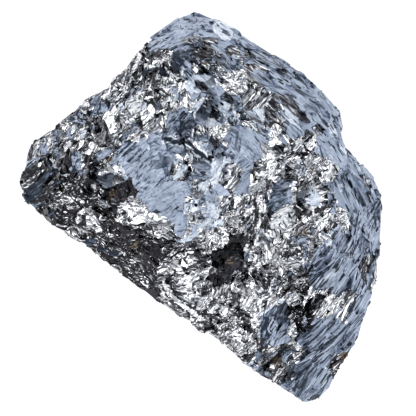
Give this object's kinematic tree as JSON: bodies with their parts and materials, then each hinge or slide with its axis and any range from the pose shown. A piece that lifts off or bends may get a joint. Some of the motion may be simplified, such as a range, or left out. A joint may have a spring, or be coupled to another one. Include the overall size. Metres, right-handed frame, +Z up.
{
  "type": "silicon crystal",
  "caption": "Broken lump of cast silicon metal, with one straight mould-side edge and a chipped, glinting face of flat cleavage facets, lying on a flat face.",
  "frame": {"origin": "centre of the lump's box in plan, on the flat face that it lies on", "axes": "+Z up; +X along the straight mould-side edge, which is at the low Y end; +Y across the lump, away from that edge"},
  "size_m": [0.096, 0.067, 0.0379],
  "materials": {
    "silicon": "polished"
  },
  "bodies": {
    "root": {"silicon_lump": "silicon"}
  },
  "joints": []
}
